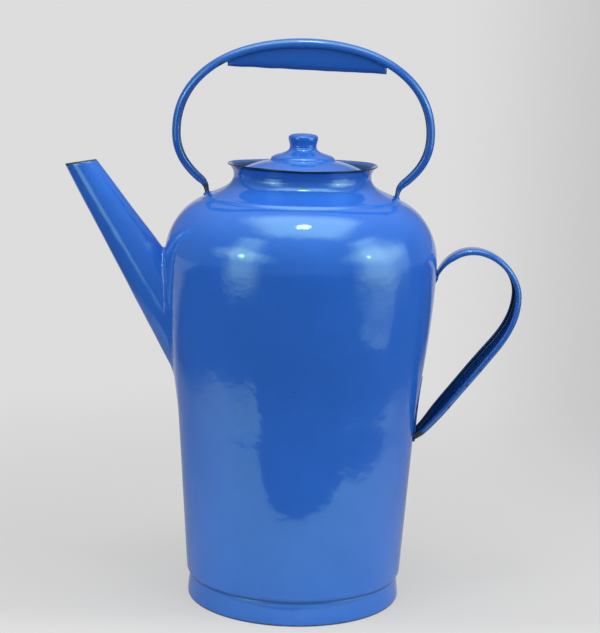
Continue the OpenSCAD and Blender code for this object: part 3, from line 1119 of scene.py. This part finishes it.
# The reflected ground, in metres from the pot's middle. Each pair says where an edge starts and where it
# is full, outwards in. The paper's front edge comes nearer on the left, and its side edges run aslant.
PAPER_FRONT = (-0.282, -0.262)
PAPER_NEARER = (-0.30, -0.06, 0.095, 0)
PAPER_LEFT = (-0.56, -0.45)
PAPER_LEFT_SLANT = (-0.69, -0.58)
PAPER_RIGHT = (0.53, 0.42)
PAPER_RIGHT_SLANT = (0.50, 0.43)
PATCH_LEFT = (0.56, 0.68)
PATCH_FRONT = (-0.60, -0.45)
PATCH_BACK = (-0.08, -0.22)
BACKDROP_EDGE = (0.43, 0.66)
# The factor on Y that sets the paper's right edge aslant, and on X that does so for the backdrop's edge
SLANT = -0.8
# Tones: the paper's grain, how the paper darkens from front to back (painted shade, as less light falls at
# the back), the table, the patch, the backdrop
PAPER_GRAIN = (0.69, 0.71)
PAPER_FADE = (-0.25, 0.25, 1.12, 0.42)
TABLE_TONE = 0.07
PATCH_TONE = 0.62
BACKDROP_TONE = (0.55, 0.55, 0.55)


def reflected_ground(n, x, y):
    """What the pot mirrors: a sheet of paper on a dark table, a patch of light, and a pale backdrop."""
    front = n.maths("ADD", y, n.ramp(x, *PAPER_NEARER))
    left = n.times(n.ramp(x, *PAPER_LEFT), n.ramp(n.maths("ADD", x, y), *PAPER_LEFT_SLANT))
    aslant = n.maths("MULTIPLY_ADD", y, SLANT, x)
    right = n.times(n.ramp(x, *PAPER_RIGHT), n.ramp(aslant, *PAPER_RIGHT_SLANT))
    on_paper = n.times(n.ramp(front, *PAPER_FRONT), n.times(left, right))
    grain = n.ramp(n.noise(0.8, 2, 0.6), 0.3, 0.7, *PAPER_GRAIN)
    paper = n.fill("ShaderNodeBsdfDiffuse", n.times(grain, n.ramp(y, *PAPER_FADE)))
    lit = n.times(n.ramp(x, *PATCH_LEFT), n.times(n.ramp(y, *PATCH_FRONT), n.ramp(y, *PATCH_BACK)))
    table_top = n.fill("ShaderNodeBsdfDiffuse", n.ramp(lit, 0, 1, TABLE_TONE, PATCH_TONE))
    backdrop = n.fill("ShaderNodeEmission", BACKDROP_TONE)
    behind = n.ramp(n.maths("MULTIPLY_ADD", n.maths("MAXIMUM", x, 0), SLANT, y), *BACKDROP_EDGE)
    return n.blend(behind, n.blend(on_paper, table_top, paper), backdrop)


# The ground that the camera sees: the albedo that takes the pot's shadow, the glow mixed into it from
# front to back, which is painted light brighter at the front, and the distances from the pot between which
# both go over into the plain pale tone
SHADOW_TONE = (0.30, 0.30, 0.30)
SHADOW_GLOW = (-0.11, -0.05, 1.08, 0.95)
SHADOW_REACH = (0.25, 0.8)


def seen_ground(n, x, y):
    """What the camera sees: a pale ground that takes a soft shadow near the pot."""
    aside = n.maths("DIVIDE", x, n.far(x, n.maths("ADD", y, -CAMERA_AT[1])))
    plain = n.fill("ShaderNodeEmission", n.ramp(aside, *PALE_TURN, PALE_LEFT, PALE_RIGHT))
    shadow = n.fill("ShaderNodeBsdfDiffuse", SHADOW_TONE)
    glow = n.fill("ShaderNodeEmission", n.ramp(y, *SHADOW_GLOW))
    return n.blend(n.ramp(n.far(x, y), *SHADOW_REACH), n.blend(0.5, shadow, glow), plain)


def make_floor():
    """A pale seamless floor that looks different in reflections."""
    reach = 30
    data = bpy.data.meshes.new("floor")
    corners = [(-reach, -reach, 0), (reach, -reach, 0), (reach, reach, 0), (-reach, reach, 0)]
    data.from_pydata(corners, [], [(0, 1, 2, 3)])
    floor = bpy.data.objects.new("floor", data)
    bpy.context.scene.collection.objects.link(floor)
    n = Material("paper")
    x, y = n.apart(n.coords)[:2]
    ground = n.for_camera(reflected_ground(n, x, y), seen_ground(n, x, y))
    n.end("ShaderNodeOutputMaterial", ground)
    data.materials.append(n.material)


# The reflected room's tone: by how far back a direction points, and by how far up
ROOM_BACK = (0.90, 0.985, 0.0, 0.60)
ROOM_UP = (0.25, 0.95, 0.23, 0.7)


def make_world():
    """In reflections a dim room that is paler behind and above. The camera sees the ground's pale tone."""
    world = bpy.data.worlds.new("studio")
    bpy.context.scene.world = world
    world.use_nodes = True
    n = Nodes(world.node_tree)
    x, y, z = n.apart(n.add("ShaderNodeTexCoord").outputs["Generated"])
    room = n.maths("MAXIMUM", n.ramp(y, *ROOM_BACK), n.ramp(z, *ROOM_UP))
    pale = n.ramp(x, *PALE_TURN, PALE_LEFT, PALE_RIGHT)
    sky = n.for_camera(n.fill("ShaderNodeBackground", room), n.fill("ShaderNodeBackground", pale))
    n.end("ShaderNodeOutputWorld", sky)
    bpy.context.scene.view_settings.view_transform = "Standard"


# ---- the whole ----

make_camera()
make_lights()
make_world()
make_floor()

POT = enamel("pot_enamel")
SPOUT = enamel("spout_enamel", peel_by=0.4)
# The handles wear the pot's blue darkened: painted shade, as on the grip's shaded side
HANDLE = enamel("handle_enamel", scaled(BLUE, 0.76), wear=0.42, peel_by=0.15)
LID = enamel("lid_enamel", peel_by=0.4)
PAN = enamel("pan_enamel", scaled(BLUE, 0.5))
METAL = spun_metal("insert_metal")

place(make_body(), "pot", "body_shell", POT)
place(make_collar(), "pot", "neck_collar", POT)
place(make_foot_ring(), "pot", "foot_ring", POT)
place(make_spout(), "pot", "spout", SPOUT)
place(make_arch(), "pot", "top_handle_strap", HANDLE)
place(make_grip(), "pot", "top_handle_grip", HANDLE)
place(make_rear_handle(), "pot", "rear_handle_strap", HANDLE)
place(make_rear_tab(), "pot", "rear_handle_strap", HANDLE)
for name, node, middle, radii in WELDS:
    place(make_weld(name, middle, radii), "pot", node, POT)
place(make_cover(), "lid", "lid_cover", LID)
place(make_skirt(), "lid", "lid_skirt", LID)
place(make_knob(), "lid", "lid_knob", LID)

for node in ("knob_washer", "pump_base", "pump_tube", "pump_collar", "basket_cup", "basket_sleeve",
             "spreader_plate", "spreader_ring"):
    repaint(node, METAL)
repaint("base_pan", PAN)
